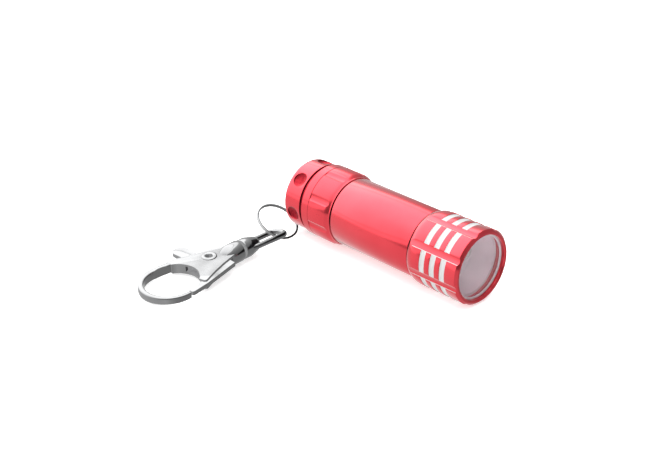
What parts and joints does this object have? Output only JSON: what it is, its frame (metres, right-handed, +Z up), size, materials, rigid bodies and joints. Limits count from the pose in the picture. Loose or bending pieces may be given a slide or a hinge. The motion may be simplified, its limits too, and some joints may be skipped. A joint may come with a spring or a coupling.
{
  "type": "keychain flashlight",
  "caption": "Pocket aluminium torch with a screw-on lens head, a push-button tail cap, a split ring and a swivelling trigger snap clasp.",
  "frame": {"origin": "centre of the bounding box at table height, the torch lying on its side", "axes": "+X from the tail cap to the lens, +Y from the clasp to the torch, +Z up from the table"},
  "size_m": [0.0716, 0.0692, 0.02],
  "materials": {
    "red_anodised": "red anodised over fine-turned aluminium, satin gloss",
    "chrome": "bright nickel-chrome plate on zinc casting and steel wire",
    "spring_steel": "plain drawn spring wire",
    "black_rubber": "matt moulded rubber",
    "black_plastic": "moulded plastic",
    "clear_lens": "clear polished lens",
    "reflector_silver": "vacuum-metallised silver on moulded plastic",
    "led_epoxy": "water-clear epoxy",
    "board_green": "green solder mask",
    "cell_can": "nickel-plated cell can",
    "clear_silicone": "milky silicone",
    "switch_white": "white moulded plastic"
  },
  "bodies": {
    "barrel": {"barrel": "red_anodised", "head_seal": "black_rubber", "led_board": "board_green", "led_1": "led_epoxy", "led_2": "led_epoxy", "led_3": "led_epoxy", "led_holder": "black_plastic", "front_contact_spring": "spring_steel", "battery_sleeve": "black_plastic", "button_cell_1": "cell_can", "button_cell_2": "cell_can", "button_cell_3": "cell_can", "button_cell_4": "cell_can", "rear_contact_spring": "spring_steel"},
    "optics": {"lens": "clear_lens", "lens_seal": "clear_silicone", "reflector": "reflector_silver"},
    "head": {"head_shell": "red_anodised"},
    "cap_seal": {"cap_seal": "black_rubber"},
    "cap": {"tail_cap": "red_anodised", "switch_housing": "black_plastic", "switch_spring": "spring_steel"},
    "button": {"switch_boot": "black_rubber", "switch_plunger": "switch_white"},
    "ring": {"split_ring": "chrome"},
    "eye": {"swivel_eye": "chrome", "swivel_pin": "chrome"},
    "clasp": {"clasp_hook": "chrome", "gate_rivet": "chrome", "gate_spring": "spring_steel"},
    "gate": {"clasp_gate": "chrome"}
  },
  "joints": [
    {"name": "head_advance", "type": "slide", "parent": "barrel", "child": "optics", "axis": [1, 0, 0], "range_m": [0, 0.003]},
    {"name": "head_turn", "type": "hinge", "parent": "optics", "child": "head", "pos_m": [0.02, 0.0246, 0.01], "axis": [1, 0, 0], "range_deg": [0, 1439.9]},
    {"name": "cap_advance", "type": "slide", "parent": "barrel", "child": "cap_seal", "axis": [-1, 0, 0], "range_m": [0, 0.003]},
    {"name": "cap_turn", "type": "hinge", "parent": "cap_seal", "child": "cap", "pos_m": [-0.015, 0.0246, 0.01], "axis": [-1, 0, 0], "range_deg": [0, 1439.9]},
    {"name": "button_press", "type": "slide", "parent": "cap", "child": "button", "axis": [1, 0, 0], "range_m": [0, 0.001], "stiffness_N_per_m": 1500, "springref_m": -0.0004},
    {"name": "ring_swing", "type": "hinge", "parent": "cap", "child": "ring", "pos_m": [-0.02428, 0.02204, 0.00137], "axis": [0, -0.9588, 0.284], "range_deg": [-10, 60]},
    {"name": "eye_swing", "type": "hinge", "parent": "ring", "child": "eye", "pos_m": [-0.02478, 0.01025, 0.00218], "axis": [0, 0, 1], "range_deg": [-35, 70]},
    {"name": "clasp_swivel", "type": "hinge", "parent": "eye", "child": "clasp", "pos_m": [-0.02303, -0.0035, 0.00315], "axis": [0, -0.998, -0.0628], "continuous": true},
    {"name": "gate_open", "type": "hinge", "parent": "clasp", "child": "gate", "pos_m": [-0.02463, -0.01218, 0.0026], "axis": [0, -0.0628, 0.998], "range_deg": [-25, 0], "stiffness_Nm_per_rad": 0.02, "springref_deg": 22.92}
  ],
  "couplings": [
    {"joint": "head_advance", "follows": "head_turn", "m_per_rad": 0.00011937},
    {"joint": "cap_advance", "follows": "cap_turn", "m_per_rad": 0.00011937}
  ]
}
